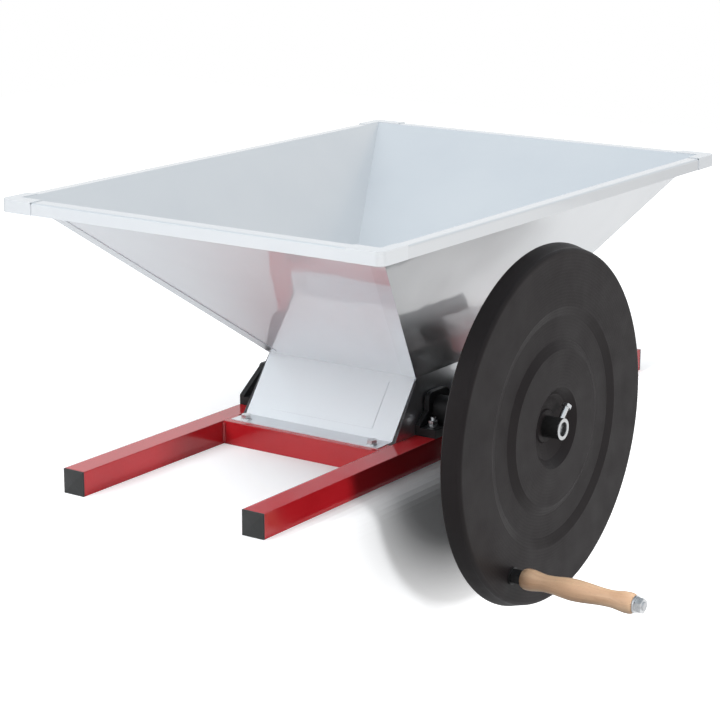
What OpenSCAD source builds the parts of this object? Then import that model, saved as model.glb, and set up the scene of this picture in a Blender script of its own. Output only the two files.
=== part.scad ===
// Hand cranked grape crusher: a sheet steel hopper on a red tube frame, above
// two geared fluted rollers that a flywheel with a wooden grip turns.
// X runs along the roller shafts towards the flywheel, Y along the rails towards
// the back and Z up. The origin lies midway between the rails, on the plane of
// their undersides, where the frame rests on a vat.

/* [Frame] */
// Side of the square frame tube
tube = 34; // [30:1:40]
// Wall of the frame tube
tube_wall = 2; // [1.5:0.5:3]
// Clear distance between the two long rails
rail_gap = 264; // [262:1:290]
// Length of a long rail without its end caps
rail_l = 1010; // [800:5:1200]
// How far the rails sit towards the back of the hopper
rail_shift = 6; // [0:1:30]
// Distance from the middle of the hopper to the far face of a cross rail
cross_out = 200; // [196:1:240]
// Thickness of the head of an end cap
cap_head = 4; // [3:0.5:8]
// Depth of the plug of an end cap
cap_plug = 18; // [10:1:30]

/* [Hopper] */
// Width of the rim across the rails
rim_w = 618; // [540:2:620]
// Length of the rim along the rails
rim_l = 904; // [780:2:980]
// Height of the rim above the rails
rim_h = 340; // [320:1:380]
// Width of the flat top of the rims at the sides
rim_flat = 17; // [13:0.5:22]
// Width of the flat top of the rims at the front and the rear
end_flat = 22; // [14:0.5:28]
// Radius of the bend between the flat top and the lip
bend_r = 3; // [2:0.5:4]
// Height of the lip round the rim
rim_lip = 17; // [12:1:24]
// Leg of a rim corner piece
corner_leg = 55; // [45:1:70]
// Radius of a rim corner piece
corner_r = 12.5; // [6:0.5:13]
// Thickness of the sheet
sheet = 1; // [0.8:0.1:1.5]
// Width of the throat across the rails
throat_w = 254; // [240:1:256]
// Length of the throat along the rails
throat_l = 189; // [186:1:210]
// Height of the throat above the rails
throat_h = 80.5; // [78:0.5:95]
// Width of the laps along the hopper corners
lap_w = 18; // [10:1:24]
// Distance from the middle of the hopper to the bend at the foot of a deflector
foot_out = 154; // [150:1:158]
// Distance from the far face of a cross rail to the edge of the deflector foot
foot_setback = 10; // [6:1:14]
// Height of the raised field on the deflectors
emboss_h = 0.8; // [0.4:0.1:1.5]
// Diameter of the rivets that hold the hopper sides to the rails
rivet_d = 4.8; // [3.2:0.4:6]

/* [Bearings] */
// Height of the axles above the rails
axle_h = 31.5; // [31:0.5:40]
// Distance between the two axles
axle_gap = 108; // [107:1:116]
// Length of a right bearing block along the rail
block_l = 100; // [90:1:104]
// Distance from the axle to the far end of a left bearing block
left_reach = 64; // [50:1:70]
// Thickness of the base of a bearing block
block_base = 12; // [10:0.5:18]
// Height of the ends of the web of a bearing block
block_end_h = 14.5; // [10:0.5:20]
// Thickness of the web of a bearing block
web = 8; // [5:0.5:8.5]
// Half the width of the web of a right bearing block at the axle
web_half = 27; // [22:0.5:30]
// Height of the web of a right bearing block above the axle
web_rise = 25; // [21:0.5:28]
// Radius of the boss round the axle
boss_r = 17; // [14:0.5:18]
// Distance from the axle to a bearing bolt
bolt_offset = 30; // [27:0.5:34]
// Diameter of the frame bolts
bolt_d = 8; // [6:1:8]

/* [Rollers and gears] */
// Diameter of the roller shafts
shaft_d = 20; // [16:1:24]
// Diameter over the lobes of a roller
roller_d = 112; // [100:1:112]
// Depth of the flutes of a roller
flute = 9; // [6:0.5:12]
// Number of lobes of a roller
lobes = 8; // [6:2:12]
// Distance from the end of a roller to the throat's side
roller_side = 6; // [5:0.5:12]
// Number of teeth of each gear
teeth = 18; // [16:1:24]
// Width of the gear teeth
gear_face = 22; // [16:1:32]
// Length of the hub between a gear and the bearing beside it
gear_hub_l = 28; // [12:1:34]
// Radius of the hub of a gear
gear_hub_r = 19; // [16:0.5:24]
// Diameter of the cross pins in the shafts
pin_d = 6; // [4:0.5:7]

/* [Flywheel] */
// Diameter of the face of the flywheel
wheel_d = 494; // [460:2:540]
// Thickness of the flywheel at its rim
wheel_t = 28; // [26:1:40]
// How much the rim of the flywheel widens from its face to its back
wheel_flare = 5; // [0:0.5:8]
// Distance from the rail to the back of the flywheel
wheel_gap = 134; // [90:1:170]
// Radius of the rounded front edge of the flywheel
wheel_edge = 6; // [4:0.5:10]
// Depth of the ring shaped hollow in the face of the flywheel
ring_depth = 4.5; // [2:0.5:8]
// Height of the middle of the flywheel above its rim face
disc_rise = 1.5; // [0.5:0.5:4]
// Depth of the well round the hub
well_depth = 17; // [10:0.5:18]
// Thickness of the flywheel between hub and rim
wheel_web = 20; // [19.5:0.5:26]
// Outside diameter of the hub sleeve
sleeve_d = 30; // [28:1:34]
// How far the hub sleeve stands out of the face of the flywheel
sleeve_out = 12; // [8:0.5:30]
// How far the shaft ends inside the mouth of the hub sleeve
shaft_recess = 5; // [2:0.5:5.5]
// Turn of the hub bolt from the top towards the back
hub_bolt_turn = 45; // [0:1:90]

/* [Crank] */
// Distance from the rim of the flywheel to the crank spindle
crank_in = 36; // [32:1:38]
// Turn of the crank from the bottom towards the front
crank_turn = 31; // [0:1:60]
// Diameter of the crank spindle
spindle_d = 12; // [10:1:14]
// Length of the wooden grip
grip_l = 168; // [120:1:200]
// Diameter of the grip near the flywheel
grip_base_d = 29.5; // [26:0.5:38]
// Diameter of the two waists of the grip
grip_waist_d = 23.5; // [21:0.5:28]
// Diameter of the belly of the grip
grip_belly_d = 30; // [26:0.5:36]
// Diameter of the grip near its end
grip_end_d = 29; // [26:0.5:36]

/* [Hidden] */
$fn = 72;

// Clearances: loose holes, running fits, thin gaps between sheets and cutting overlap
hole_play = 0.5;
run_play = 0.05;
sheet_gap = 0.5;
cut = 1;
// A length that is longer than the whole machine
far = 2000;

// Frame places
rail_in = rail_gap / 2;
rail_mid = rail_in + tube / 2;
rail_out = rail_in + tube;
rail_top = tube;
cross_mid = cross_out - tube / 2;
sides = [-1, 1];

// Hopper places: the inner faces of the sheets
rim_z = rail_top + rim_h;
throat_z = rail_top + throat_h;
mouth_x = rim_w / 2 - rim_flat;
mouth_y = rim_l / 2 - end_flat;
throat_x = throat_w / 2;
throat_y = throat_l / 2;
skirt_x = rail_in - sheet;
skirt_z = 6;
corner_lap = 12;
lap_top = 8;
lap_foot = 10;
foot_end = cross_out - foot_setback;
foot_bolt_in = 13;
foot_bolt_side = 18;
foot_bolt_x = throat_x - foot_bolt_side;
foot_bolt_y = foot_end - foot_bolt_in;
emboss_in = 14;
emboss_side = 39;
rivet_pitch = 118;
rivet_head_r = rivet_d;
rivet_head_h = 1.6;

// Bolt sizes that follow the thread
bolt_r = bolt_d / 2;
bolt_hole_r = bolt_r + hole_play;
bolt_af = 1.625 * bolt_d;
bolt_head_h = 0.66 * bolt_d;
nut_h = 0.8 * bolt_d;
washer_r = bolt_d;
washer_t = 1.6;
stud_over = 4.5;
access_r = 9;
foot_bolt_l = 16;

// Axles, shafts and what they carry
axle_y = axle_gap / 2;
axle_z = rail_top + axle_h;
shaft_r = shaft_d / 2;
bore_r = shaft_r + run_play;
shaft_end_in = 1;
roller_half = throat_x - roller_side;
spacer_wall = 10;
spacer_gap = 1;
spacer_r = shaft_r + spacer_wall;
spacer_t = roller_side - spacer_gap;
roller_pin_in = 14;
valley_turn = 180 / lobes;
flute_points = 16;
gear_gap = 2;
gear_x = rail_out + gear_gap;
teeth_x = gear_x + gear_hub_l;
gear_end = teeth_x + gear_face;
gear_pin_x = gear_x + gear_hub_l / 2;
rear_shaft_over = 4;

// Gear teeth: involute flanks, with the module taken from the axle distance
pressure = 20;
module_size = axle_gap / teeth;
pitch_r = axle_gap / 2;
base_r = pitch_r * cos(pressure);
tip_r = pitch_r + 0.95 * module_size;
root_r = pitch_r - 1.2 * module_size;
backlash = 0.5;
flank_steps = 5;
gear_web_r = root_r - 6;
gear_hollow = 5;

// Web of the bearing blocks: the round corners of its top, and where the slopes of a left one end
web_round = 12;
left_round = 6;
left_knee = 16;
left_rise = 20.5;

// Flywheel places
wheel_r = wheel_d / 2;
wheel_back = rail_out + wheel_gap;
wheel_face = wheel_back + wheel_t;
plateau_r = wheel_r - 79;
ring_step = 14;
ring_w = 32;
ring_out_r = plateau_r - ring_step;
ring_in_r = ring_out_r - ring_w;
disc_r = ring_in_r - ring_step + 1;
sleeve_r = sleeve_d / 2;
well_r = sleeve_r + 42;
well_wall_r = sleeve_r + 31;
well_floor_r = sleeve_r + 9;
collar_r = sleeve_r + 7.5;
collar_rise = 2;
back_edge = 4;
back_rim_r = wheel_r - 52;
back_step = 8;
back_hub_r = sleeve_r + 17;
sleeve_back = 10;
sleeve_end = wheel_face + sleeve_out;
shaft_end = sleeve_end - shaft_recess;
hub_bolt_in = 10;
hub_bolt_x = sleeve_end - hub_bolt_in;
hub_bolt_stand = 18;
hub_bolt_head_r = sleeve_r + hub_bolt_stand;

// Crank places along the spindle
spindle_r = spindle_d / 2;
crank_r = wheel_r - crank_in;
spindle_af = 1.583 * spindle_d;
spindle_nut_h = 0.83 * spindle_d;
crank_nut_h = spindle_d + 2;
crank_washer_r = spindle_d;
crank_washer_t = 2.5;
grip_play = 0.4;
crank_y = -axle_y - crank_r * sin(crank_turn);
crank_z = axle_z - crank_r * cos(crank_turn);
crank_nut_x = wheel_face + crank_washer_t;
grip_x = crank_nut_x + crank_nut_h + grip_play;
grip_end = grip_x + grip_l;
grip_washer_x = grip_end + grip_play;
grip_nut_x = grip_washer_x + crank_washer_t;
crank_back_x = wheel_back - crank_washer_t - spindle_nut_h;
spindle_over = 1.5;

// Colours
red = [0.66, 0.12, 0.17];
steel = [0.80, 0.83, 0.86];
zinc = [0.75, 0.76, 0.77];
black = [0.16, 0.16, 0.16];
wheel_black = [0.23, 0.22, 0.22];
alloy = [0.70, 0.71, 0.72];
nylon = [0.90, 0.89, 0.84];
iron = [0.20, 0.20, 0.21];
beech = [0.80, 0.64, 0.46];

// A flat shape drawn in Y and Z, given a length along X about x = 0
module along_x(length) {
    rotate([90, 0, 90]) linear_extrude(length, center = true) children();
}

// A flat shape drawn in X and Z, given a length along Y about y = 0
module along_y(length) {
    rotate([90, 0, 0]) linear_extrude(length, center = true) children();
}

// A round bar along X from x0 to x1
module bar(x0, x1, r) {
    translate([x0, 0, 0]) rotate([0, 90, 0]) cylinder(h = x1 - x0, r = r);
}

// A hexagon along Z, with its flats af apart and its corners turned off at both ends
module hexagon(af, h) {
    reach = af / 2 / cos(30);
    face = 0.475 * af;
    drop = (reach - face) * tan(30);
    intersection() {
        cylinder(h = h, r = reach, $fn = 6);
        rotate_extrude() polygon([[0, 0], [face, 0], [reach, drop], [reach, h - drop], [face, h], [0, h]]);
    }
}

// A flat ring along Z
module ring(outer, inner, h) {
    difference() {
        cylinder(h = h, r = outer);
        translate([0, 0, -cut]) cylinder(h = h + 2 * cut, r = inner);
    }
}

// A hexagon nut along Z
module nut(af, hole_r, h) {
    difference() {
        hexagon(af, h);
        translate([0, 0, -cut]) cylinder(h = h + 2 * cut, r = hole_r);
    }
}

// The hollow section of the frame tube
module tube_section() {
    difference() {
        square(tube, center = true);
        square(tube - 2 * tube_wall, center = true);
    }
}

// The right rail, drilled for the bearing bolts and the rivets
module rail() {
    color(red) difference() {
        translate([rail_mid, rail_shift, tube / 2]) along_y(rail_l) tube_section();
        for (sy = sides, s = sides) {
            translate([rail_mid, sy * axle_y + s * bolt_offset, 0]) {
                translate([0, 0, tube / 2]) cylinder(h = tube, r = bolt_hole_r);
                translate([0, 0, -cut]) cylinder(h = tube_wall + 2 * cut, r = access_r);
            }
        }
        rivet_row() bar(-cut - sheet, tube_wall + cut, rivet_d / 2 + run_play);
    }
}

module right_rail() {
    rail();
}

module left_rail() {
    mirror([1, 0, 0]) rail();
}

// The rear cross rail, welded between the long rails
module cross_rail() {
    color(red) difference() {
        translate([0, cross_mid, tube / 2]) along_x(rail_gap) tube_section();
        for (s = sides) {
            translate([s * foot_bolt_x, foot_bolt_y, tube / 2]) cylinder(h = tube, r = bolt_hole_r);
        }
    }
}

module rear_cross_rail() {
    cross_rail();
}

module front_cross_rail() {
    mirror([0, 1, 0]) cross_rail();
}

// A square cap whose face is a low pyramid, plugged into the +Y end of a tube
module end_cap() {
    half = tube / 2;
    face = [[-half, 0], [half, 0], [half, cap_head / 2], [0, cap_head], [-half, cap_head / 2]];
    plug = tube - 2 * tube_wall - 2 * run_play;
    intersection() {
        linear_extrude(tube, center = true) polygon(face);
        rotate([0, 90, 0]) linear_extrude(tube, center = true) polygon(face);
    }
    translate([-plug / 2, -cap_plug, -plug / 2]) cube([plug, cap_plug + cut, plug]);
}

module rail_end_caps() {
    color(black) for (sx = sides, sy = sides) {
        translate([sx * rail_mid, rail_shift + sy * rail_l / 2, tube / 2])
            mirror([0, sy < 0 ? 1 : 0, 0]) end_cap();
    }
}

// Left hand normal of the step from a to b
function normal(a, b) = let (d = b - a) [-d.y, d.x] / norm(d);

// A path moved to its left by t, with mitred bends
function shifted(p, t) = [
    for (i = [0 : len(p) - 1])
        let (
            before = normal(p[max(i - 1, 0)], p[max(i, 1)]),
            after = normal(p[min(i, len(p) - 2)], p[min(i + 1, len(p) - 1)])
        )
        p[i] + t * (before + after) / (1 + before * after)
];

function reversed(p) = [for (i = [len(p) - 1 : -1 : 0]) p[i]];

// A layer beside a path, from t0 to t1 on its left
module layer(p, t0, t1) {
    polygon(concat(shifted(p, t0), reversed(shifted(p, t1))));
}

// The section of a bent sheet whose one face follows a path
module bent_sheet(p) {
    layer(p, 0, sheet);
}

function unit(v) = v / norm(v);

// The inner faces of the rear and the right slope, as distance from the middle and height
end_slope = [[mouth_y, rim_z], [throat_y, throat_z]];
side_slope = [[mouth_x, rim_z], [throat_x, throat_z]];

// A path of one step, made longer at both ends
function stretched(p) = let (run = far * unit(p[1] - p[0])) [p[0] - run, p[1] + run];

// Slabs along the rear and the right slope, from t0 to t1 outside their inner faces
module end_slab(t0, t1) {
    along_x(far) layer(stretched(end_slope), t0, t1);
}

module side_slab(t0, t1) {
    along_y(far) layer(stretched(side_slope), t0, t1);
}

// The lap of the right sheet on the outside of the rear sheet
module lap() {
    run = unit(end_slope[1] - end_slope[0]);
    trimmed = [end_slope[0] + lap_top * run, end_slope[1] - lap_foot * run];
    intersection() {
        along_x(rim_w) layer(trimmed, sheet, 2 * sheet);
        side_slab(-lap_w, sheet);
    }
}

// Points of an arc about a centre
function arc(centre, r, from, to) = [
    for (i = [0 : 6]) centre + r * [cos(from + (to - from) * i / 6), sin(from + (to - from) * i / 6)]
];

// The path of a rim: up the lip, round the bend and along the flat top to the mouth
function rim_path(outer, mouth) = concat(
    [[outer, rim_z - rim_lip]],
    arc([outer - bend_r, rim_z - bend_r], bend_r, 0, 90),
    [[mouth, rim_z]]
);

// Distance from the outer corner to the end of a rim, under the corner piece
rim_short = corner_leg - corner_lap;

// The rear sheet: lip, flat rim, slope, deflector with a raised field, and foot
module end_panel() {
    rim = rim_path(rim_l / 2, mouth_y);
    deflector = [[throat_y, throat_z], [foot_out, rail_top], [foot_end, rail_top]];
    inset = emboss_in * unit(deflector[1] - deflector[0]);
    emboss = [deflector[0] + inset, deflector[1] - inset];
    color(steel) difference() {
        union() {
            along_x(rim_w - 2 * rim_short) bent_sheet(rim);
            difference() {
                along_x(rim_w) bent_sheet(end_slope);
                for (sx = [0, 1]) {
                    mirror([sx, 0, 0]) side_slab(0, far);
                }
            }
            along_x(throat_w - 2 * sheet_gap) bent_sheet(deflector);
            along_x(throat_w - 2 * emboss_side) layer(emboss, sheet / 2, sheet + emboss_h);
        }
        for (s = sides) {
            translate([s * foot_bolt_x, foot_bolt_y, rail_top - cut])
                cylinder(h = sheet + 2 * cut, r = bolt_hole_r);
        }
    }
}

module hopper_rear_panel() {
    end_panel();
}

module hopper_front_panel() {
    mirror([0, 1, 0]) end_panel();
}

// The right sheet: lip, flat rim, slope with a lap at each end, and the skirt beside the rollers
module side_panel() {
    rim = rim_path(rim_w / 2, mouth_x);
    skirt = [[throat_x, throat_z], [skirt_x, rail_top], [skirt_x, skirt_z]];
    outline = [[-foot_out, 0], [foot_out, 0], [foot_out, rail_top], [throat_y, throat_z],
               [throat_y, throat_z + cut], [-throat_y, throat_z + cut], [-throat_y, throat_z],
               [-foot_out, rail_top]];
    shaft_hole_r = shaft_r + 4;
    color(steel) difference() {
        union() {
            along_y(rim_l - 2 * rim_short) bent_sheet(rim);
            difference() {
                along_y(rim_l) bent_sheet(side_slope);
                for (sy = [0, 1]) {
                    mirror([0, sy, 0]) end_slab(2 * sheet, far);
                }
            }
            for (sy = [0, 1]) {
                mirror([0, sy, 0]) lap();
            }
            intersection() {
                along_y(rim_l) bent_sheet(skirt);
                along_x(rim_w) polygon(outline);
            }
        }
        for (s = sides) {
            translate([0, s * axle_y, axle_z]) bar(throat_x - tube, throat_x + tube, shaft_hole_r);
        }
        rivet_row() bar(-cut - sheet, cut, rivet_d / 2 + run_play);
    }
}

module hopper_right_panel() {
    side_panel();
}

module hopper_left_panel() {
    mirror([1, 0, 0]) side_panel();
}

// The plan of a rim corner piece, drawn from the outer corner inwards
module corner_plan() {
    difference() {
        union() {
            square([corner_leg, end_flat + sheet]);
            square([rim_flat + sheet, corner_leg]);
        }
        difference() {
            square(corner_r);
            translate([corner_r, corner_r]) circle(corner_r);
        }
    }
}

// What lies inside the lip of a rim corner piece
module corner_inside() {
    difference() {
        translate([sheet, sheet]) square(corner_leg);
        difference() {
            translate([sheet, sheet]) square(corner_r - sheet);
            translate([corner_r, corner_r]) circle(corner_r - sheet);
        }
    }
}

// The rear right rim corner: a flat top and a rounded lip that lie on the ends of the rims
module rim_corner() {
    color(steel) translate([rim_w / 2 + sheet, rim_l / 2 + sheet, rim_z])
    mirror([1, 0, 0]) mirror([0, 1, 0]) {
        linear_extrude(sheet) corner_plan();
        translate([0, 0, -rim_lip]) linear_extrude(rim_lip + sheet) difference() {
            corner_plan();
            corner_inside();
        }
    }
}

module rear_right_rim_corner() {
    rim_corner();
}

module rear_left_rim_corner() {
    mirror([1, 0, 0]) rim_corner();
}

module front_right_rim_corner() {
    mirror([0, 1, 0]) rim_corner();
}

module front_left_rim_corner() {
    mirror([1, 0, 0]) mirror([0, 1, 0]) rim_corner();
}

// Children at each deflector bolt, on top of the cross rail
module at_foot_bolts() {
    for (sx = sides, sy = sides) {
        translate([sx * foot_bolt_x, sy * foot_bolt_y, rail_top]) children();
    }
}

module deflector_bolts() {
    seat = sheet + washer_t;
    color(zinc) at_foot_bolts() {
        translate([0, 0, seat]) hexagon(bolt_af, bolt_head_h);
        translate([0, 0, seat - foot_bolt_l]) cylinder(h = foot_bolt_l, r = bolt_r);
    }
}

module deflector_washers() {
    color(zinc) at_foot_bolts() translate([0, 0, sheet]) ring(washer_r, bolt_hole_r, washer_t);
}

module deflector_nuts() {
    color(zinc) at_foot_bolts()
        translate([0, 0, -tube_wall - nut_h]) nut(bolt_af, bolt_r + run_play, nut_h);
}

// Children at each rivet of the right side, with X pointing into the rail
module rivet_row() {
    for (k = [-1 : 1]) {
        translate([rail_in, k * rivet_pitch, rail_top / 2]) children();
    }
}

module side_rivets() {
    color(zinc) for (m = [0, 1]) {
        mirror([m, 0, 0]) rivet_row() {
            bar(-sheet - rivet_head_h, -sheet, rivet_head_r);
            bar(-sheet, tube_wall, rivet_d / 2);
            bar(tube_wall, tube_wall + rivet_d / 2, rivet_d / 2 + 2 * run_play);
        }
    }
}

// The outline of the web of a bearing block: a foot that ends at -out, two slopes that
// end half the width of the top from the axle, and a top with round corners
module block_outline(out, half, knee, rise, curve) {
    top = axle_h + rise;
    polygon([[-out, 0], [-out, block_end_h], [-half, axle_h + knee], [half, axle_h + knee],
             [block_l / 2, block_end_h], [block_l / 2, 0]]);
    translate([-half, 0]) square([2 * half, top - curve]);
    translate([curve - half, 0]) square([2 * (half - curve), top]);
    for (s = sides) {
        translate([s * (half - curve), top - curve]) circle(curve);
    }
}

// A moulded bearing block with its axle at y = 0, its web drawn by the children
module bearing_block(out) {
    color(black) difference() {
        union() {
            translate([-tube / 2, -out, 0]) cube([tube, out + block_l / 2, block_base]);
            translate([(web - tube) / 2, 0, 0]) along_x(web) children();
            translate([-tube / 2, -boss_r, 0]) cube([tube, 2 * boss_r, axle_h]);
            translate([0, 0, axle_h]) bar(-tube / 2, tube / 2, boss_r);
        }
        translate([0, 0, axle_h]) bar(-tube / 2 - cut, tube / 2 + cut, bore_r);
        for (s = sides) {
            translate([0, s * bolt_offset, -cut]) cylinder(h = block_base + 2 * cut, r = bolt_hole_r);
        }
    }
}

module front_left_bearing() {
    translate([-rail_mid, -axle_y, rail_top]) bearing_block(left_reach)
        block_outline(left_reach, boss_r, left_knee, left_rise, left_round);
}

module front_right_bearing() {
    translate([rail_mid, -axle_y, rail_top]) bearing_block(block_l / 2)
        block_outline(block_l / 2, web_half, 0, web_rise, web_round);
}

module rear_left_bearing() {
    mirror([0, 1, 0]) front_left_bearing();
}

module rear_right_bearing() {
    mirror([0, 1, 0]) front_right_bearing();
}

// Children at each bearing bolt, on top of the rail
module at_bearing_bolts() {
    for (sx = sides, sy = sides, s = sides) {
        translate([sx * rail_mid, sy * axle_y + s * bolt_offset, rail_top]) children();
    }
}

module bearing_bolts() {
    shank = tube_wall + block_base + washer_t + nut_h + stud_over;
    color(zinc) at_bearing_bolts() {
        translate([0, 0, -tube_wall - bolt_head_h]) hexagon(bolt_af, bolt_head_h);
        translate([0, 0, -tube_wall]) cylinder(h = shank, r = bolt_r);
    }
}

module bearing_washers() {
    color(zinc) at_bearing_bolts() translate([0, 0, block_base]) ring(washer_r, bolt_hole_r, washer_t);
}

module bearing_nuts() {
    color(zinc) at_bearing_bolts()
        translate([0, 0, block_base + washer_t]) nut(bolt_af, bolt_r + run_play, nut_h);
}

// Children on the front axle, and on the rear axle turned by half a pitch
module on_front_axle(pitch_turn = 0) {
    translate([0, -axle_y, axle_z]) rotate([pitch_turn, 0, 0]) children();
}

module on_rear_axle(pitch_turn = 0) {
    translate([0, axle_y, axle_z]) rotate([pitch_turn, 0, 0]) children();
}

// A hole or pin right across a shaft at x, along Y
module cross_bar(x, half, r) {
    translate([x, half, 0]) rotate([90, 0, 0]) cylinder(h = 2 * half, r = r);
}

// The places of the two cross pins of a roller
roller_pin_xs = [roller_pin_in - roller_half, roller_half - roller_pin_in];
roller_pin_half = roller_d / 2 - flute - 2;

// A shaft with its pin holes, up to x1
module shaft(x1, gear_turn) {
    color(steel) difference() {
        bar(shaft_end_in - rail_out, x1, shaft_r);
        for (x = roller_pin_xs) {
            rotate([valley_turn, 0, 0]) cross_bar(x, shaft_d, pin_d / 2 + run_play);
        }
        rotate([gear_turn, 0, 0]) cross_bar(gear_pin_x, shaft_d, pin_d / 2 + run_play);
    }
}

// The fluted outline of a roller
function flute_r(a) = (roller_d - flute) / 2 + flute / 2 * cos(lobes * a);

module roller() {
    step = 360 / lobes / flute_points;
    color(alloy) difference() {
        along_x(2 * roller_half)
            polygon([for (a = [0 : step : 360 - step]) flute_r(a) * [cos(a), sin(a)]]);
        bar(-far, far, bore_r);
        for (x = roller_pin_xs) {
            rotate([valley_turn, 0, 0]) cross_bar(x, roller_d, pin_d / 2 + run_play);
        }
    }
}

module roller_pins() {
    color(zinc) for (x = roller_pin_xs) {
        rotate([valley_turn, 0, 0]) cross_bar(x, roller_pin_half, pin_d / 2);
    }
}

// Nylon spacers at both ends of a roller
module roller_spacers() {
    color(nylon) for (m = [0, 1]) {
        mirror([m, 0, 0]) difference() {
            bar(roller_half, roller_half + spacer_t, spacer_r);
            bar(-far, far, bore_r);
        }
    }
}

// Involute angle, in degrees, at a roll angle in degrees
function involute(roll) = roll - atan(roll * PI / 180);
function roll_at(r) = r > base_r ? sqrt(r * r / base_r / base_r - 1) * 180 / PI : 0;
function at_angle(r, a) = r * [cos(a), sin(a)];

tooth_half = 90 / teeth - backlash / 4 / pitch_r * 180 / PI + involute(roll_at(pitch_r));

// One flank of a tooth from root to tip, as radius and angle from the tooth's middle
flank = concat(
    [[root_r, tooth_half]],
    [
        for (i = [0 : flank_steps])
            let (roll = roll_at(tip_r) * i / flank_steps)
            [base_r * sqrt(1 + pow(roll * PI / 180, 2)), tooth_half - involute(roll)]
    ]
);

module gear_plan() {
    polygon([
        for (k = [0 : teeth - 1])
            each concat(
                [for (f = flank) at_angle(f[0], k * 360 / teeth - f[1])],
                [for (f = reversed(flank)) at_angle(f[0], k * 360 / teeth + f[1])]
            )
    ]);
}

// A spur gear with a hollowed face, and a hub on the side of the bearing
module gear(pin_turn) {
    color(iron) difference() {
        union() {
            translate([teeth_x + gear_face / 2, 0, 0]) along_x(gear_face) gear_plan();
            bar(gear_x, gear_end, gear_hub_r);
        }
        difference() {
            bar(gear_end - gear_hollow, gear_end + cut, gear_web_r);
            bar(gear_x, gear_end, gear_hub_r);
        }
        bar(gear_x - cut, gear_end + cut, bore_r);
        rotate([pin_turn, 0, 0]) cross_bar(gear_pin_x, gear_hub_r + cut, pin_d / 2 + run_play);
    }
}

module gear_pin() {
    color(zinc) cross_bar(gear_pin_x, gear_hub_r, pin_d / 2);
}

module front_shaft() {
    on_front_axle() shaft(shaft_end, 0);
}

module front_roller() {
    on_front_axle() roller();
}

module front_roller_pins() {
    on_front_axle() roller_pins();
}

module front_roller_spacers() {
    on_front_axle() roller_spacers();
}

module drive_gear() {
    on_front_axle() gear(0);
}

module drive_gear_pin() {
    on_front_axle() gear_pin();
}

// A tooth of the front gear points at the rear axle, where the rear gear has a gap
rear_gear_turn = 180 - 180 / teeth;

module rear_shaft() {
    on_rear_axle(valley_turn) shaft(gear_end + rear_shaft_over, rear_gear_turn - valley_turn);
}

module rear_roller() {
    on_rear_axle(valley_turn) roller();
}

module rear_roller_pins() {
    on_rear_axle(valley_turn) roller_pins();
}

module rear_roller_spacers() {
    on_rear_axle(valley_turn) roller_spacers();
}

module driven_gear() {
    on_rear_axle(rear_gear_turn) gear(0);
}

module driven_gear_pin() {
    on_rear_axle(rear_gear_turn) gear_pin();
}

// The section of the flywheel, as radius and distance along X
module wheel_section() {
    front = [wheel_r - wheel_edge, wheel_face - wheel_edge];
    back = [wheel_r + wheel_flare - back_edge, wheel_back + back_edge];
    polygon(concat(
        [[sleeve_r + run_play, wheel_face - well_depth + collar_rise],
         [collar_r, wheel_face - well_depth + collar_rise],
         [well_floor_r, wheel_face - well_depth],
         [well_wall_r, wheel_face - well_depth / 2],
         [well_r, wheel_face + disc_rise],
         [disc_r, wheel_face + disc_rise],
         [ring_in_r, wheel_face - ring_depth],
         [ring_out_r, wheel_face - ring_depth],
         [plateau_r, wheel_face]],
        arc(front, wheel_edge, 90, 0),
        arc(back, back_edge, 0, -90),
        [[back_rim_r, wheel_back],
         [back_rim_r - back_step, wheel_face - wheel_web],
         [back_hub_r + back_step, wheel_face - wheel_web],
         [back_hub_r, wheel_back],
         [sleeve_r + run_play, wheel_back]]
    ));
}

module flywheel() {
    color(wheel_black) difference() {
        on_front_axle() rotate([0, 90, 0]) rotate_extrude() wheel_section();
        on_spindle() bar(wheel_back - cut, wheel_face + cut, spindle_r + run_play);
    }
}

// Children at the hub bolt, with Z along the bolt away from the axle
module at_hub_bolt() {
    on_front_axle() rotate([-hub_bolt_turn, 0, 0]) translate([hub_bolt_x, 0, 0]) children();
}

module hub_sleeve() {
    color(black) difference() {
        on_front_axle() difference() {
            bar(wheel_back - sleeve_back, sleeve_end, sleeve_r);
            bar(wheel_back - sleeve_back - cut, sleeve_end + cut, bore_r);
        }
        at_hub_bolt() cylinder(h = sleeve_d, r = bolt_r + run_play);
    }
}

module hub_bolt() {
    tip = shaft_r + run_play;
    color(zinc) at_hub_bolt() {
        translate([0, 0, tip]) cylinder(h = hub_bolt_head_r - tip, r = bolt_r);
        translate([0, 0, hub_bolt_head_r]) hexagon(bolt_af, bolt_head_h);
    }
}

// Children on the crank spindle
module on_spindle() {
    translate([0, crank_y, crank_z]) children();
}

// Children with Z turned along X at x
module along_spindle(x) {
    on_spindle() translate([x, 0, 0]) rotate([0, 90, 0]) children();
}

module crank_spindle() {
    color(zinc) on_spindle()
        bar(crank_back_x - spindle_over, grip_nut_x + spindle_nut_h + spindle_over, spindle_r);
}

module crank_washers() {
    color(black) for (x = [wheel_face, wheel_back - crank_washer_t]) {
        along_spindle(x) ring(crank_washer_r, spindle_r + run_play, crank_washer_t);
    }
}

module crank_front_nut() {
    color(black) along_spindle(crank_nut_x) nut(spindle_af, spindle_r + run_play, crank_nut_h);
}

module crank_back_nut() {
    color(black) along_spindle(crank_back_x) nut(spindle_af, spindle_r + run_play, spindle_nut_h);
}

// Where the grip swells and narrows along its length
grip_base_at = 10;
grip_waist_at = [0.22, 0.78];
grip_belly_at = 0.46;
grip_end_at = 9;
grip_face_d = grip_waist_d - 2;
grip_steps = 8;

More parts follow.
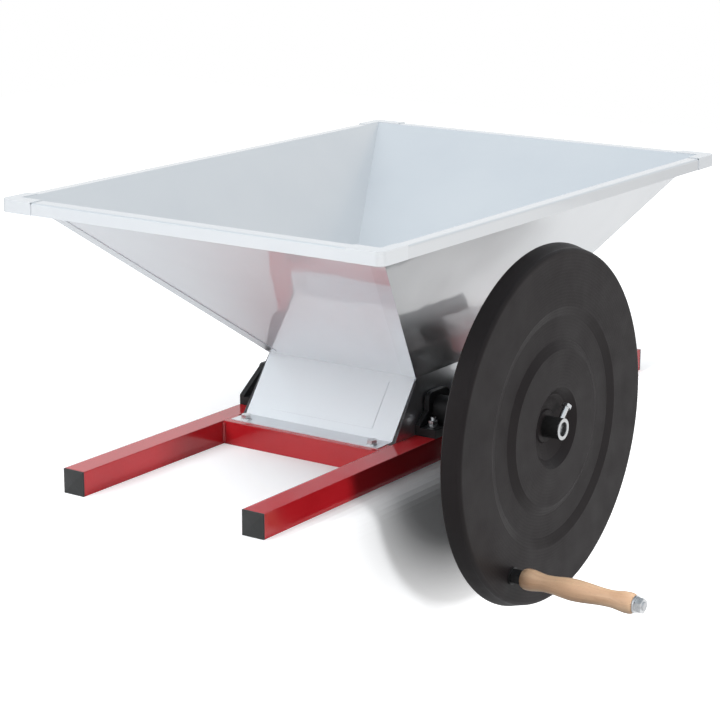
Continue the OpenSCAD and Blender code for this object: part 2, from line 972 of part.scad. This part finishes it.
// The outline of the grip: a swelling by the flywheel, a waist, a belly, a waist, a swelling at the end
grip_stations = [[0, grip_face_d], [grip_base_at, grip_base_d], [grip_waist_at[0] * grip_l, grip_waist_d],
                 [grip_belly_at * grip_l, grip_belly_d], [grip_waist_at[1] * grip_l, grip_waist_d],
                 [grip_l - grip_end_at, grip_end_d], [grip_l, grip_face_d]];
grip_last = len(grip_stations) - 2;

// One stretch of the outline, round at the two ends of the grip
function grip_stretch(k) = [
    for (i = [k == 0 ? 0 : 1 : grip_steps])
        let (
            t = i / grip_steps,
            from = grip_stations[k],
            to = grip_stations[k + 1],
            along = k == 0 ? 1 - cos(90 * t) : k == grip_last ? sin(90 * t) : t,
            swell = k == 0 ? sin(90 * t) : k == grip_last ? 1 - cos(90 * t) : (1 - cos(180 * t)) / 2
        )
        [(from[1] + (to[1] - from[1]) * swell) / 2, from[0] + (to[0] - from[0]) * along]
];

module hand_grip() {
    color(beech) along_spindle(grip_x) rotate_extrude() polygon(concat(
        [[spindle_r + run_play, 0]],
        [for (k = [0 : grip_last]) each grip_stretch(k)],
        [[spindle_r + run_play, grip_l]]
    ));
}

module grip_washer() {
    color(zinc) along_spindle(grip_washer_x) ring(crank_washer_r, spindle_r + run_play, crank_washer_t);
}

module grip_end_nut() {
    color(zinc) along_spindle(grip_nut_x) nut(spindle_af, spindle_r + run_play, spindle_nut_h);
}

left_rail();
right_rail();
front_cross_rail();
rear_cross_rail();
rail_end_caps();
hopper_front_panel();
hopper_rear_panel();
hopper_left_panel();
hopper_right_panel();
front_left_rim_corner();
front_right_rim_corner();
rear_left_rim_corner();
rear_right_rim_corner();
deflector_bolts();
deflector_washers();
deflector_nuts();
side_rivets();
front_left_bearing();
front_right_bearing();
rear_left_bearing();
rear_right_bearing();
bearing_bolts();
bearing_washers();
bearing_nuts();
front_shaft();
front_roller();
front_roller_pins();
front_roller_spacers();
drive_gear();
drive_gear_pin();
rear_shaft();
rear_roller();
rear_roller_pins();
rear_roller_spacers();
driven_gear();
driven_gear_pin();
flywheel();
hub_sleeve();
hub_bolt();
crank_spindle();
crank_washers();
crank_front_nut();
crank_back_nut();
hand_grip();
grip_washer();
grip_end_nut();
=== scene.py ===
import math

import bmesh
import bpy
from mathutils import Matrix, Vector


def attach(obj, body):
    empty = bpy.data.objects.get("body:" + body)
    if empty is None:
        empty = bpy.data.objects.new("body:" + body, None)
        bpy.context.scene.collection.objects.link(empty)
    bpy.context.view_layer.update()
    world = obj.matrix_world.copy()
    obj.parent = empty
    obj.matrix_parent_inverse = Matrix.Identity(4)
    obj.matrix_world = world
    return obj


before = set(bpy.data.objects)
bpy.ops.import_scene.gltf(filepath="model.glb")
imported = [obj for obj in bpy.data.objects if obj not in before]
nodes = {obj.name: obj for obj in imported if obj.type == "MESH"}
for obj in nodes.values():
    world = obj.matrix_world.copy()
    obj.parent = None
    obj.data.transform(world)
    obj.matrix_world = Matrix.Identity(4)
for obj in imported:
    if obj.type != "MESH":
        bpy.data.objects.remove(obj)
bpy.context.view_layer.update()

# Places from the part's source, in metres
AXLE = (0.0, -0.054, 0.0655)
CRANK = (0.0, -0.162673, -0.115362)
RAIL_IN = 0.132
CROSS_IN, CROSS_OUT = 0.166, 0.200
TUBE = 0.034
THROAT = 0.1145

# The hub sleeve is bare steel from here to its end
SLEEVE_BARE = 0.3388

# Pitches of the threads that show
M8_PITCH, SPINDLE_PITCH = 0.00125, 0.00175

# The factor on its coordinates that the wave texture brings along
WAVE_FACTOR = 20.0

# How far a weld bead stops short of the tube's corners
WELD_SHORT = 0.0015

# The table ends just past the right rail, so that the flywheel hangs beside it
TABLE_EDGE, FLOOR_TOP = 0.2, -0.9

# The point from which the white of the stage grows, and how much faster it grows downwards; this
# growth is painted light that fades the machine's shadow on the stage
LIFT_CENTRE, LIFT_STRETCH = (0.2, -0.02, 0.0), (1, 1, 1.8)

# Camera fitted to the photograph, angles in degrees
CAMERA_AT = (1.70141, -2.52578, 0.89426)
AZIMUTH, ELEVATION, ROLL = 34.48, 14.61, 0.17
FOCAL_LENGTH, SENSOR = 107.51, 36.0


# Shader helpers

class Tree:
    """Adds nodes to one node tree; a value is a socket to link or a constant to set."""

    def __init__(self, tree):
        self.tree = tree

    def put(self, socket, value):
        if isinstance(value, bpy.types.NodeSocket):
            self.tree.links.new(value, socket)
        else:
            socket.default_value = value

    def add(self, kind, inputs=None, **attrs):
        node = self.tree.nodes.new("ShaderNode" + kind)
        for key, value in attrs.items():
            setattr(node, key, value)
        for key, value in (inputs or {}).items():
            self.put(node.inputs[key], value)
        return node

    def place(self, scale=(1, 1, 1), shift=(0, 0, 0)):
        """The object's own coordinates, shifted and stretched."""
        coords = self.add("TexCoord").outputs["Object"]
        moved = self.add("VectorMath", {0: coords, 1: shift}, operation="SUBTRACT").outputs[0]
        return self.add("VectorMath", {0: moved, 1: scale}, operation="MULTIPLY").outputs[0]

    def split(self, vector):
        """The three parts of a vector."""
        return self.add("SeparateXYZ", {0: vector}).outputs

    def noise(self, scale, detail=4.0, rough=0.55, where=None, distortion=0.0):
        inputs = {"Scale": scale, "Detail": detail, "Roughness": rough, "Distortion": distortion}
        inputs["Vector"] = where or self.place()
        return self.add("TexNoise", inputs).outputs["Fac"]

    def span(self, value, low, high, start=0.3, end=0.7):
        """A value from start to end mapped to the span from low to high; the defaults suit noise."""
        inputs = {"Value": value, "From Min": start, "From Max": end, "To Min": low, "To Max": high}
        return self.add("MapRange", inputs).outputs[0]

    def math(self, operation, a, b=0.0):
        return self.add("Math", {0: a, 1: b}, operation=operation).outputs[0]

    def mix(self, factor, a, b):
        node = self.add("Mix", {"Factor": factor}, data_type="RGBA")
        self.put(node.inputs[6], a)
        self.put(node.inputs[7], b)
        return node.outputs[2]

    def soft_edges(self, radius):
        """Normals that round the edges of a piece."""
        return self.add("Bevel", {"Radius": radius}, samples=6).outputs[0]

    def bump(self, height, distance, normal=None):
        inputs = {"Height": height, "Distance": distance}
        if normal:
            inputs["Normal"] = normal
        return self.add("Bump", inputs).outputs["Normal"]


def rgb(r, g, b):
    return (r, g, b, 1.0)


def blank(name):
    """A new material with an empty node tree."""
    material = bpy.data.materials.new(name)
    material.use_nodes = True
    material.node_tree.nodes.clear()
    return material, Tree(material.node_tree)


def surface(name, **fixed):
    """A new material with one Principled shader; fixed values go straight on its sockets."""
    material, tree = blank(name)
    shader = tree.add("BsdfPrincipled")
    for key, value in fixed.items():
        shader.inputs[key.replace("_", " ")].default_value = value
    tree.add("OutputMaterial", {"Surface": shader.outputs[0]})
    return material, tree, shader.inputs


# Materials

def sheet(name, rough, pale):
    """Cold rolled sheet: a soft sheen under a sharp mirror that grows at flat angles."""
    material, t, s = surface(name, Coat_IOR=2.0)
    cloud = t.span(t.noise(5.0, 3.0), 0.0, 1.0)
    face = t.mix(cloud, rgb(0.935 * pale, 0.965 * pale, pale),
                 rgb(0.985 * pale, 1.01 * pale, 1.035 * pale))
    grain = t.noise(1.0, 3.0, where=t.place((14.0, 420.0, 420.0)))
    smear = t.noise(11.0, 5.0, 0.6)
    mottle = t.span(smear, rough - 0.04, rough + 0.04)
    t.put(s["Roughness"], t.math("ADD", mottle, t.span(grain, -0.02, 0.02)))
    t.put(s["Coat Roughness"], t.span(smear, 0.03, 0.07))
    t.put(s["Normal"], t.bump(t.noise(4.0, 1.0), 0.0012))
    t.put(s["Coat Normal"], t.bump(t.noise(6.0, 2.0), 0.0010))
    return material, t, s, face


def end_sheet():
    """The end sheets, paler and more matt below the throat: a painted sheen that brightens the
    deflector and foot in place of the bright reflection they show.
    """
    material, t, s, face = sheet("sheet_steel", 0.51, 0.875)
    height = t.split(t.place())[2]
    above = t.span(height, 0.0, 1.0, THROAT - 0.001, THROAT + 0.001)
    # Below the throat the sheet is paler and less metallic: painted sheen brightening the deflector
    # and foot
    t.put(s["Base Color"], t.mix(above, rgb(0.90, 0.94, 0.975), face))
    t.put(s["Metallic"], t.span(above, 0.6, 0.92, 0.0, 1.0))
    t.put(s["Coat Weight"], 1.0)
    return material


def side_sheet():
    """The side sheets, dark and without coat on the lap faces that face front or back and upward:
    painted shade where these faces would show bright reflections.
    """
    material, t, s, face = sheet("side_steel", 0.34, 0.81)
    facing = t.split(t.add("NewGeometry").outputs["True Normal"])
    lengthwise = t.math("GREATER_THAN", t.math("ABSOLUTE", facing[1]), 0.7)
    # Faces facing front or back and upward get a dark base and no coat: painted shade
    painted_shade = t.math("MULTIPLY", lengthwise, t.math("GREATER_THAN", facing[2], 0.4))
    t.put(s["Base Color"], t.mix(painted_shade, face, rgb(0.13, 0.13, 0.135)))
    t.put(s["Metallic"], 0.94)
    t.put(s["Coat Weight"], t.math("SUBTRACT", 1.0, painted_shade))
    return material


def red_paint():
    """Gloss paint with fine pale specks, rounded at the edges of the tubes."""
    material, t, s = surface("red_paint", Coat_Weight=1.0, Coat_IOR=1.66, Specular_IOR_Level=0.0)
    tone = t.noise(9.0, 4.0)
    speck = t.span(t.noise(260.0, 3.0), 0.0, 0.12, 0.55, 0.75)
    base = t.mix(t.span(tone, 0.0, 1.0), rgb(0.48, 0.011, 0.017), rgb(0.54, 0.015, 0.022))
    t.put(s["Base Color"], t.mix(speck, base, rgb(0.57, 0.05, 0.06)))
    t.put(s["Roughness"], t.span(t.noise(30.0), 0.28, 0.42))
    t.put(s["Coat Roughness"], t.span(t.noise(40.0), 0.08, 0.16))
    t.put(s["Normal"], t.bump(t.noise(320.0, 2.0), 0.00012, t.soft_edges(0.002)))
    t.put(s["Coat Normal"], t.soft_edges(0.002))
    return material


def moulded(name, dark, light, rough, grain=900.0, gleam=0.5):
    """Moulded plastic with a fine grain and soft edges."""
    material, t, s = surface(name, Specular_IOR_Level=gleam)
    tone = t.span(t.noise(14.0, 5.0), 0.0, 1.0)
    t.put(s["Base Color"], t.mix(tone, rgb(*dark), rgb(*light)))
    t.put(s["Roughness"], t.span(t.noise(40.0), rough - 0.06, rough + 0.08))
    t.put(s["Normal"], t.bump(t.noise(grain, 2.0), 0.0001, t.soft_edges(0.001)))
    return material


def wheel_plastic():
    """Satin black with faint rings around the axle."""
    material, t, s = surface("wheel_plastic", Specular_IOR_Level=0.17)
    tone = t.span(t.noise(9.0, 5.0), 0.0, 1.0)
    t.put(s["Base Color"], t.mix(tone, rgb(0.0125, 0.0100, 0.0105), rgb(0.0185, 0.0155, 0.0160)))
    inputs = {"Vector": t.place(shift=AXLE), "Scale": 70.0, "Distortion": 1.5, "Detail": 3.0,
              "Detail Scale": 2.0}
    rings = t.add("TexWave", inputs, wave_type="RINGS", rings_direction="X")
    swirl = t.span(rings.outputs["Fac"], -0.025, 0.025, 0.0, 1.0)
    t.put(s["Roughness"], t.math("ADD", t.span(t.noise(24.0, 5.0), 0.40, 0.52), swirl))
    t.put(s["Normal"], t.bump(t.noise(1100.0, 2.0), 0.00012))
    return material


def plated(name, pale, dull, rough, axis=None, pitch=M8_PITCH, metallic=1.0):
    """Plated steel; a named axis adds the ridges of a thread across it."""
    material, t, s = surface(name, Metallic=metallic)
    stain = t.span(t.noise(160.0, 4.0), 0.0, 1.0)
    t.put(s["Base Color"], t.mix(stain, rgb(*pale), rgb(*dull)))
    t.put(s["Roughness"], t.span(t.noise(220.0), rough - 0.07, rough + 0.1))
    normal = t.bump(t.noise(700.0, 2.0), 0.00005)
    if axis:
        inputs = {"Vector": t.place(), "Scale": 2.0 * math.pi / (pitch * WAVE_FACTOR)}
        thread = t.add("TexWave", inputs, wave_type="BANDS", bands_direction=axis)
        normal = t.bump(thread.outputs["Fac"], 0.0003, normal)
    t.put(s["Normal"], normal)
    return material


def cast(name, pale, dull, rough, metallic):
    """Cast metal with a coarse and a fine grain."""
    material, t, s = surface(name, Metallic=metallic)
    patch = t.span(t.noise(30.0, 6.0, 0.65), 0.0, 1.0)
    t.put(s["Base Color"], t.mix(patch, rgb(*pale), rgb(*dull)))
    t.put(s["Roughness"], t.span(t.noise(80.0, 5.0), rough - 0.08, rough + 0.1))
    coarse = t.bump(t.noise(240.0, 4.0), 0.0004)
    t.put(s["Normal"], t.bump(t.noise(900.0, 2.0), 0.00012, coarse))
    return material


def sleeve_steel():
    """Black paint, bare at the turned end of the tube."""
    material, t, s = surface("sleeve_steel")
    ragged = t.span(t.noise(500.0, 3.0), -0.0006, 0.0006)
    bare = t.math("GREATER_THAN", t.math("ADD", t.split(t.place())[0], ragged), SLEEVE_BARE)
    painted = t.mix(t.noise(60.0), rgb(0.022, 0.022, 0.022), rgb(0.036, 0.036, 0.036))
    t.put(s["Base Color"], t.mix(bare, painted, rgb(0.66, 0.67, 0.68)))
    t.put(s["Metallic"], bare)
    t.put(s["Roughness"], t.span(t.noise(120.0), 0.3, 0.45))
    t.put(s["Normal"], t.bump(t.noise(400.0, 2.0), 0.0001))
    return material


def beech():
    """Varnished wood with its grain, broad bands and dark flecks along the spindle."""
    material, t, s = surface("beech", Coat_Weight=0.3, Coat_Roughness=0.3, Specular_IOR_Level=0.3)
    grain = t.noise(1.0, 6.0, 0.6, t.place((6.0, 85.0, 85.0), CRANK), 0.8)
    base = t.mix(t.span(grain, 0.0, 1.0, 0.38, 0.62), rgb(0.94, 0.63, 0.40), rgb(0.69, 0.375, 0.20))
    band = t.noise(1.0, 2.0, 0.5, t.place((2.5, 45.0, 45.0), CRANK))
    base = t.mix(t.span(band, 0.0, 0.40), base, rgb(0.94, 0.68, 0.475))
    fleck = t.noise(1.0, 2.0, 0.5, t.place((160.0, 1500.0, 1500.0), CRANK))
    base = t.mix(t.span(fleck, 0.0, 0.55, 0.62, 0.74), base, rgb(0.44, 0.25, 0.13))
    t.put(s["Base Color"], base)
    t.put(s["Roughness"], t.span(grain, 0.34, 0.48))
    t.put(s["Normal"], t.bump(grain, 0.00018))
    return material


bright, stained = (0.86, 0.87, 0.88), (0.70, 0.71, 0.72)
steel = end_sheet()
side_steel = side_sheet()
paint = red_paint()
zinc = plated("zinc", bright, stained, 0.3)
zinc_z = plated("zinc_threaded", bright, stained, 0.3, "Z")
zinc_x = plated("spindle_steel", (0.70, 0.71, 0.73), (0.56, 0.57, 0.58), 0.3, "X", SPINDLE_PITCH)
shaft = plated("shaft_steel", (0.62, 0.63, 0.64), (0.48, 0.48, 0.49), 0.3)
alloy = cast("cast_alloy", (0.70, 0.71, 0.72), (0.58, 0.59, 0.60), 0.42, 1.0)
iron = cast("gear_iron", (0.022, 0.022, 0.023), (0.014, 0.014, 0.015), 0.46, 0.4)
block = moulded("black_nylon", (0.013, 0.013, 0.014), (0.020, 0.020, 0.021), 0.45, gleam=0.3)
cap = moulded("cap_plastic", (0.036, 0.037, 0.037), (0.050, 0.051, 0.051), 0.5, 700.0, 0.35)
nylon = moulded("white_nylon", (0.74, 0.72, 0.64), (0.82, 0.80, 0.74), 0.42, 500.0)
black = plated("black_steel", (0.040, 0.040, 0.041), (0.022, 0.022, 0.023), 0.42, metallic=0.3)

finishes = {
    paint: ["left_rail", "right_rail", "front_cross_rail", "rear_cross_rail"],
    steel: ["hopper_front_panel", "hopper_rear_panel", "front_left_rim_corner",
            "front_right_rim_corner", "rear_left_rim_corner", "rear_right_rim_corner"],
    side_steel: ["hopper_left_panel", "hopper_right_panel"],
    cap: ["rail_end_caps"],
    zinc: ["deflector_washers", "deflector_nuts", "side_rivets", "bearing_washers", "bearing_nuts",
           "front_roller_pins", "rear_roller_pins", "drive_gear_pin", "driven_gear_pin", "hub_bolt",
           "grip_washer", "grip_end_nut", "deflector_bolts"],
    zinc_z: ["bearing_bolts"],
    zinc_x: ["crank_spindle"],
    shaft: ["front_shaft", "rear_shaft"],
    alloy: ["front_roller", "rear_roller"],
    iron: ["drive_gear", "driven_gear"],
    block: ["front_left_bearing", "front_right_bearing", "rear_left_bearing", "rear_right_bearing"],
    nylon: ["front_roller_spacers", "rear_roller_spacers"],
    wheel_plastic(): ["flywheel"],
    sleeve_steel(): ["hub_sleeve"],
    black: ["crank_washers", "crank_front_nut", "crank_back_nut"],
    beech(): ["hand_grip"],
}
for material, names in finishes.items():
    for name in names:
        nodes[name].data.materials.clear()
        nodes[name].data.materials.append(material)


# Weld beads between the cross rails and the long rails

def piece(name, mesh, material):
    """A new object in the scene, made from a bmesh."""
    data = bpy.data.meshes.new(name)
    mesh.to_mesh(data)
    mesh.free()
    data.materials.append(material)
    body = bpy.data.objects.new(name, data)
    bpy.context.scene.collection.objects.link(body)
    return body


def weld(name, low, high, side_x, side_y, radius=0.0038):
    """A rippled fillet up the inside corner from low to high; the sides point along the two faces."""
    count, ripples, spokes = 64, 11, 7
    mesh = bmesh.new()
    rings = []
    for i in range(count + 1):
        along = i / count
        ripple = 0.86 + 0.14 * abs(math.sin(along * math.pi * ripples))
        swell = radius * ripple * min(1.0, 0.35 + 9.0 * min(along, 1.0 - along))
        centre = low.lerp(high, along)
        ring = [mesh.verts.new(centre)]
        for k in range(spokes):
            turn = math.radians(90 * k / (spokes - 1))
            reach = swell * (0.82 + 0.18 * abs(math.cos(2 * turn)))
            offset = Vector((side_x * math.cos(turn), side_y * math.sin(turn), 0.0))
            ring.append(mesh.verts.new(centre + offset * reach))
        rings.append(ring)
    for a, b in zip(rings, rings[1:]):
        for k in range(len(a)):
            j = (k + 1) % len(a)
            mesh.faces.new((a[k], a[j], b[j], b[k]))
    mesh.faces.new(rings[0])
    mesh.faces.new(rings[-1])
    bmesh.ops.recalc_face_normals(mesh, faces=mesh.faces)
    bead = piece(name, mesh, paint)
    for face in bead.data.polygons:
        face.use_smooth = True
    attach(bead, "frame")


for sx in (-1, 1):
    for sy in (-1, 1):
        for label, y, out in (("inner", CROSS_IN, -1), ("outer", CROSS_OUT, 1)):
            side = ("left" if sx < 0 else "right") + ("_front" if sy < 0 else "_rear")
            corner = Vector((sx * RAIL_IN, sy * y, WELD_SHORT))
            rise = Vector((0, 0, TUBE - 2 * WELD_SHORT))
            weld(f"weld_{side}_{label}", corner, corner + rise, -sx, sy * out)


# Table, floor, lights and camera

def stage_white(name, tone, mirrored):
    """A matt white that the camera sees brighter away from the machine, and mirrors see brighter. The
    camera's glow, low near the machine and growing with distance, downwards and on side faces, is
    painted light that lightens its shadow further out.
    """
    material, t = blank(name)
    path = t.add("LightPath").outputs
    shape = t.add("NewGeometry").outputs
    spot = t.add("VectorMath", {0: shape["Position"], 1: LIFT_STRETCH}, operation="MULTIPLY")
    away = t.add("VectorMath", {0: spot.outputs[0], 1: LIFT_CENTRE}, operation="DISTANCE")
    away = away.outputs["Value"]
    # Camera-only glow that grows away from the machine: painted light that fades its shadow on the
    # stage
    near = t.span(away, 0.03, 0.45, 0.20, 0.42)
    sideways = t.span(t.split(shape["Normal"])[0], 0.0, 1.0, 0.2, 0.8)
    wall = t.math("MULTIPLY", sideways, t.span(away, 0.0, 0.5, 0.22, 0.45))
    lift = t.math("ADD", t.math("ADD", near, wall), t.span(away, 0.0, 0.52, 0.5, 0.85))
    lift = t.math("MULTIPLY", path["Is Camera Ray"], lift)
    gleam = t.math("MULTIPLY", path["Is Glossy Ray"], mirrored)
    matt = t.add("BsdfDiffuse", {"Color": rgb(0.975 * tone, 0.985 * tone, tone)})
    shine = t.add("Emission", {"Color": rgb(1, 1, 1), "Strength": t.math("ADD", lift, gleam)})
    both = t.add("AddShader", {0: matt.outputs[0], 1: shine.outputs[0]})
    t.add("OutputMaterial", {"Surface": both.outputs[0]})
    return material


def slab(name, low, high, round_edge, material):
    """A block of the stage with rounded edges."""
    low, high = Vector(low), Vector(high)
    mesh = bmesh.new()
    bmesh.ops.create_cube(mesh, size=1.0)
    place = Matrix.Translation((low + high) / 2) @ Matrix.Diagonal(high - low).to_4x4()
    bmesh.ops.transform(mesh, matrix=place, verts=mesh.verts)
    body = piece(name, mesh, material)
    edge = body.modifiers.new("edge", "BEVEL")
    edge.width = round_edge
    edge.segments = 8


table_white = stage_white("table_white", 0.70, 0.08)
floor_white = stage_white("floor_white", 0.12, 0.9)
slab("table", (-3.0, -3.0, FLOOR_TOP), (TABLE_EDGE, 3.0, 0.0), 0.035, table_white)
slab("floor", (-6.0, -6.0, FLOOR_TOP - 0.1), (6.0, 6.0, FLOOR_TOP), 0.01, floor_white)

# The camera sees white, mirrors see a room that is white at most plus a brighter patch that is
# painted reflection, and a weak dome lights the piece
world = bpy.data.worlds.new("studio")
bpy.context.scene.world = world
world.use_nodes = True
world.node_tree.nodes.clear()
sky = Tree(world.node_tree)
path = sky.add("LightPath").outputs
direction = sky.add("TexCoord").outputs["Generated"]
_, rearward, upward = sky.split(direction)
dome = sky.mix(sky.span(upward, 0.0, 1.0, 0.05, 0.85), rgb(1, 1, 1), rgb(0.83, 0.905, 0.965))
dome = sky.mix(sky.span(upward, 0.0, 1.0, -0.25, -0.02), rgb(0.65, 0.65, 0.65), dome)
plain = sky.add("Background", {"Color": dome, "Strength": 0.36})
# A patch only mirrors see, towards the rear left a little above the horizon: painted reflection that
# brightens the flat tops of the rim
toward = sky.add("VectorMath", {0: direction, 1: (-0.55, 0.80, 0.25)}, operation="DOT_PRODUCT")
panel = sky.span(toward.outputs["Value"], 0.0, 0.16, 0.86, 0.97)
room = sky.math("ADD", sky.span(rearward, 1.0, 0.84, -0.5, -0.05), panel)
shown = sky.add("Background", {"Color": dome, "Strength": room})
backdrop = sky.add("Background", {"Color": rgb(1, 1, 1), "Strength": 1.0})
glossy = sky.add("MixShader", {0: path["Is Glossy Ray"], 1: plain.outputs[0], 2: shown.outputs[0]})
final = sky.add("MixShader", {0: path["Is Camera Ray"], 1: glossy.outputs[0], 2: backdrop.outputs[0]})
sky.add("OutputWorld", {"Surface": final.outputs[0]})


def lamp(name, place, target, size, power):
    """A rectangular lamp that mirrors don't show."""
    data = bpy.data.lights.new(name, "AREA")
    data.shape = "RECTANGLE"
    data.size, data.size_y = size
    data.energy = power
    light = bpy.data.objects.new(name, data)
    bpy.context.scene.collection.objects.link(light)
    light.visible_glossy = False
    light.location = place
    light.rotation_euler = (Vector(target) - Vector(place)).to_track_quat("-Z", "Y").to_euler()


lamp("key", (-1.2, -2.4, 2.4), (0, 0, 0.1), (2.2, 1.6), 88)
lamp("side", (3.25, -0.22, 0.5), (0.25, -0.05, 0.0), (0.5, 0.5), 48)
lamp("top", (0.2, 0.4, 3.2), (0, 0, 0.2), (2.4, 2.4), 28)

azimuth, elevation, roll = math.radians(AZIMUTH), math.radians(ELEVATION), math.radians(ROLL)
level = math.cos(elevation)
back = Vector((math.sin(azimuth) * level, -math.cos(azimuth) * level, math.sin(elevation)))
flat = Vector((math.cos(azimuth), math.sin(azimuth), 0.0))
upright = back.cross(flat)
right = flat * math.cos(roll) + upright * math.sin(roll)
up = upright * math.cos(roll) - flat * math.sin(roll)
lens = bpy.data.cameras.new("camera")
lens.sensor_fit = "HORIZONTAL"
lens.sensor_width = SENSOR
lens.lens = FOCAL_LENGTH
lens.clip_end = 50.0
camera = bpy.data.objects.new("camera", lens)
bpy.context.scene.collection.objects.link(camera)
axes = Matrix((right, up, back)).transposed().to_4x4()
camera.matrix_world = Matrix.Translation(CAMERA_AT) @ axes
bpy.context.scene.camera = camera
bpy.context.scene.view_settings.view_transform = "Standard"
